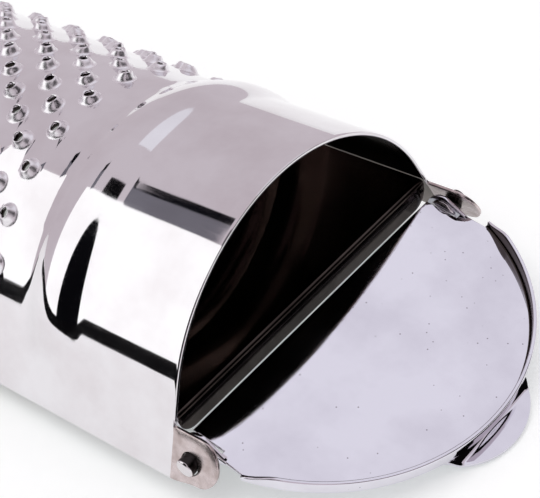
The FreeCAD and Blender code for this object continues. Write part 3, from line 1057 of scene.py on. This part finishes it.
@dataclass
class Studio:
    """Floor, light, dark cards and camera."""

    rest_drop: float = 3.2
    rest_x: float = 23.7
    eye: tuple[float, float, float] = (84.62, -80.43, 108.81)
    azimuth: float = 47.89
    elevation: float = 39.60
    roll: float = -12.69
    lens_mm: float = 102.8
    floor_half: float = 2.5
    floor_clearance_mm: float = 0.06

    def build_floor(self) -> bpy.types.Object:
        """Lay the floor under the far bottom edges and the open lid's tab.

        Returns:
            The floor.
        """
        low, _ = CAD_BOX
        mesh = bmesh.new()
        bmesh.ops.create_grid(mesh, x_segments=8, y_segments=8, size=self.floor_half)
        floor = finished(mesh, "studio_floor")
        span = self.rest_x * MM - low.x
        slope = math.atan2(self.rest_drop * MM, span)
        floor.matrix_world = (Matrix.Translation((low.x, 0.0, -self.floor_clearance_mm * MM))
                              @ Matrix.Rotation(slope, 4, "Y"))
        floor.data.materials.append(BrightPaper().make())
        return floor

    def add_card(self, name: str, centre: Sequence[float], along: Sequence[float],
                 across: Sequence[float], colour: str, glow: float = 1.0) -> bpy.types.Object:
        """Stand a card that the steel reflects and the camera doesn't see.

        Args:
            name: the card's name.
            centre: its middle, in metres.
            along: from its middle to the middle of one side, in metres.
            across: from its middle to the middle of the next side, in metres.
            colour: its sRGB hex colour.
            glow: how brightly it shines.

        Returns:
            The card.
        """
        mesh = bmesh.new()
        middle, one, two = Vector(centre), Vector(along), Vector(across)
        corners = [mesh.verts.new(middle + one * a + two * b)
                   for a, b in ((-1, -1), (1, -1), (1, 1), (-1, 1))]
        mesh.faces.new(corners)
        card = finished(mesh, name)
        material = bpy.data.materials.new(name + "_face")
        material.use_nodes = True
        tree = material.node_tree
        tree.nodes.clear()
        shader = add(tree, "ShaderNodeEmission", Color=linear(colour), Strength=glow)
        add(tree, "ShaderNodeOutputMaterial", Surface=shader.outputs["Emission"])
        card.data.materials.append(material)
        card.visible_camera = False
        card.visible_shadow = False
        card.visible_diffuse = False
        return card

    def build_cards(self) -> None:
        """Stand the white panel, the strips round it, and the black flags in front and above."""
        self.add_card("white_panel", (-0.400, -0.332, 0.210), (0.24, -0.02, 0.0),
                      (0.09, 0.20, 0.225), "FFFFFF", 1.35)
        self.add_card("panel_flag", (-0.030, -0.364, 0.210), (0.13, -0.012, 0.0),
                      (0.09, 0.20, 0.225), "09090C")
        self.add_card("grey_strip", (-0.262, -0.063, 0.326), (0.024, 0.0, 0.008),
                      (0.001, 0.034, 0.007), "77757E")
        self.add_card("black_strip", (-0.250, -0.018, 0.330), (0.017, 0.004, 0.009),
                      (0.0, 0.014, 0.001), "08090F")
        self.add_card("foot_strip", (-0.165, -0.105, 0.0068), (0.160, 0.0, 0.0),
                      (0.0, 0.0, 0.0080), "0B0A0C")
        self.add_card("front_flag", (0.32, 0.0, 0.32), (0.0, 0.20, 0.0), (0.0, 0.0, 0.17),
                      "0A090A")
        self.add_card("right_flag", (0.36, 0.24, 0.19), (-0.08, 0.20, 0.0), (0.0, 0.0, 0.18),
                      "0A090A")
        self.add_card("high_flag", (-0.04, -0.27, 0.50), (0.15, 0.0, 0.0), (0.0, 0.18, 0.07),
                      "0B0A0C")
        self.add_card("top_panel", (0.00, 0.40, 0.62), (0.27, 0.0, 0.0), (0.0, 0.22, -0.16),
                      "F2F0F8")

    def build_light(self) -> None:
        """Set the soft surrounding light and one large soft box overhead."""
        world = bpy.data.worlds.new("soft_studio")
        bpy.context.scene.world = world
        world.use_nodes = True
        world.node_tree.nodes.clear()
        sky = add(world.node_tree, "ShaderNodeBackground", Color=linear("E6DCE3"), Strength=0.85)
        add(world.node_tree, "ShaderNodeOutputWorld", Surface=sky.outputs["Background"])
        lamp = bpy.data.lights.new("overhead_soft_box", "AREA")
        lamp.shape = "RECTANGLE"
        lamp.size, lamp.size_y = 0.6, 0.6
        lamp.energy = 1.6
        box = bpy.data.objects.new("overhead_soft_box", lamp)
        box.location = (-0.1, -0.2, 0.8)
        box.rotation_mode = "QUATERNION"
        box.rotation_quaternion = (-box.location).to_track_quat("-Z", "Y")
        box.visible_glossy = False
        bpy.context.scene.collection.objects.link(box)

    def build_camera(self) -> bpy.types.Object:
        """Stand the camera in front, to the left and above, a little rolled.

        Returns:
            The camera.
        """
        turn, tilt = math.radians(self.azimuth), math.radians(self.elevation)
        ahead = Vector((-math.sin(turn) * math.cos(tilt), math.cos(turn) * math.cos(tilt),
                        -math.sin(tilt)))
        data = bpy.data.cameras.new("studio_camera")
        data.lens = self.lens_mm
        data.sensor_width = 36.0
        data.clip_start = 0.005
        camera = bpy.data.objects.new("studio_camera", data)
        bpy.context.scene.collection.objects.link(camera)
        look = ahead.to_track_quat("-Z", "Y").to_matrix().to_4x4()
        camera.matrix_world = (Matrix.Translation(Vector(self.eye) * MM) @ look
                               @ Matrix.Rotation(math.radians(self.roll), 4, "Z"))
        bpy.context.scene.camera = camera
        return camera

    def build(self) -> None:
        """Build the whole studio."""
        self.build_camera()
        self.build_floor()
        self.build_light()
        bpy.context.scene.view_settings.view_transform = "Standard"
        self.build_cards()


def main() -> None:
    """Build the pieces in order and report each one."""
    logging.basicConfig(level=logging.INFO, format="%(message)s")
    Studio().build()
    # Buffed outside: hard, bright reflections with a slow bend in them.
    shell_steel = PolishedSteel("buffed_stainless_body").make()
    # The inside keeps the rolling mill's duller face, with a soft sheen; its dark, brownish tint is
    # painted shade.
    shaded_inner_steel = PolishedSteel("stainless_inside_painted_shade", tint="766A63", smear="5A4F49",
                                rough_low=0.12, rough_high=0.24, grain=Grain.ACROSS).make()
    # Folds, punched cones and the inside of the lid's rim are painted nearly black as shade and dark
    # reflection, with a faint gloss.
    black_shade_steel = PolishedSteel("stainless_painted_black_shade", tint="4A4340", smear="2E2826",
                               rough_low=0.10, rough_high=0.22, grain=Grain.ACROSS).make()
    # The punch stretches the sheet: the teeth turn satin and catch the light as soft white domes.
    tooth_steel = PolishedSteel("stretched_stainless_teeth", tint="F2F0F3", smear="E2DEE2",
                                rough_low=0.28, rough_high=0.38, wave_mm=1.5,
                                wave_depth_mm=0.004).make()
    # The lid's plate is the flattest and best buffed part: near-mirror, with fine dark specks.
    lid_steel = PolishedSteel("buffed_stainless_lid", tint="E4E2EA", smear="D6D3DC",
                              rough_low=0.02, rough_high=0.055, wave_mm=14.0, wave_depth_mm=0.02,
                              grain=Grain.ACROSS, speck_mm=0.14).make()
    # Drawn wire has a plain bright grey, not buffed: short, soft highlights on the pin heads.
    pin_steel = PolishedSteel("drawn_steel_wire", tint="D9D4D6", rough_low=0.12, rough_high=0.22,
                              wave_mm=1.5, wave_depth_mm=0.02).make()
    # The ears are handled most: their buffing has gone to satin, and their darker, warmer tint is painted
    # shade.
    ear_steel = PolishedSteel("satin_stainless_ears_painted_shade", tint="D2C6C6", smear="B3A5A3",
                              rough_low=0.16, rough_high=0.34, wave_mm=2.0,
                              wave_depth_mm=0.01).make()
    made = [StampedBody().build(shell_steel, shaded_inner_steel, ear_steel, tooth_steel, black_shade_steel)]
    box = StorageBox()
    # The partition wears the inside material, tinted dark as painted shade.
    made += [box.build_floor(lid_steel, black_shade_steel), box.dress_partition(shaded_inner_steel)]
    lid = FlipLid()
    made += [lid.build_plate(lid_steel, black_shade_steel), lid.build_tab(lid_steel),
             lid.build_lug(-1, "near", lid_steel), lid.build_lug(1, "far", lid_steel)]
    # The shanks sit in the hinge holes; they are painted nearly black as shade.
    shank_steel = PolishedSteel("steel_wire_painted_black_shade", tint="3A3636", smear="1E1B1B",
                                rough_low=0.25, rough_high=0.45, wave_mm=1.0).make()
    made += [lid.build_pin(-1, "near", pin_steel, shank_steel),
             lid.build_pin(1, "far", pin_steel, shank_steel)]
    for piece in made:
        LOG.info("%s: %d faces", piece.name, len(piece.data.polygons))


if __name__ == "__main__":
    main()
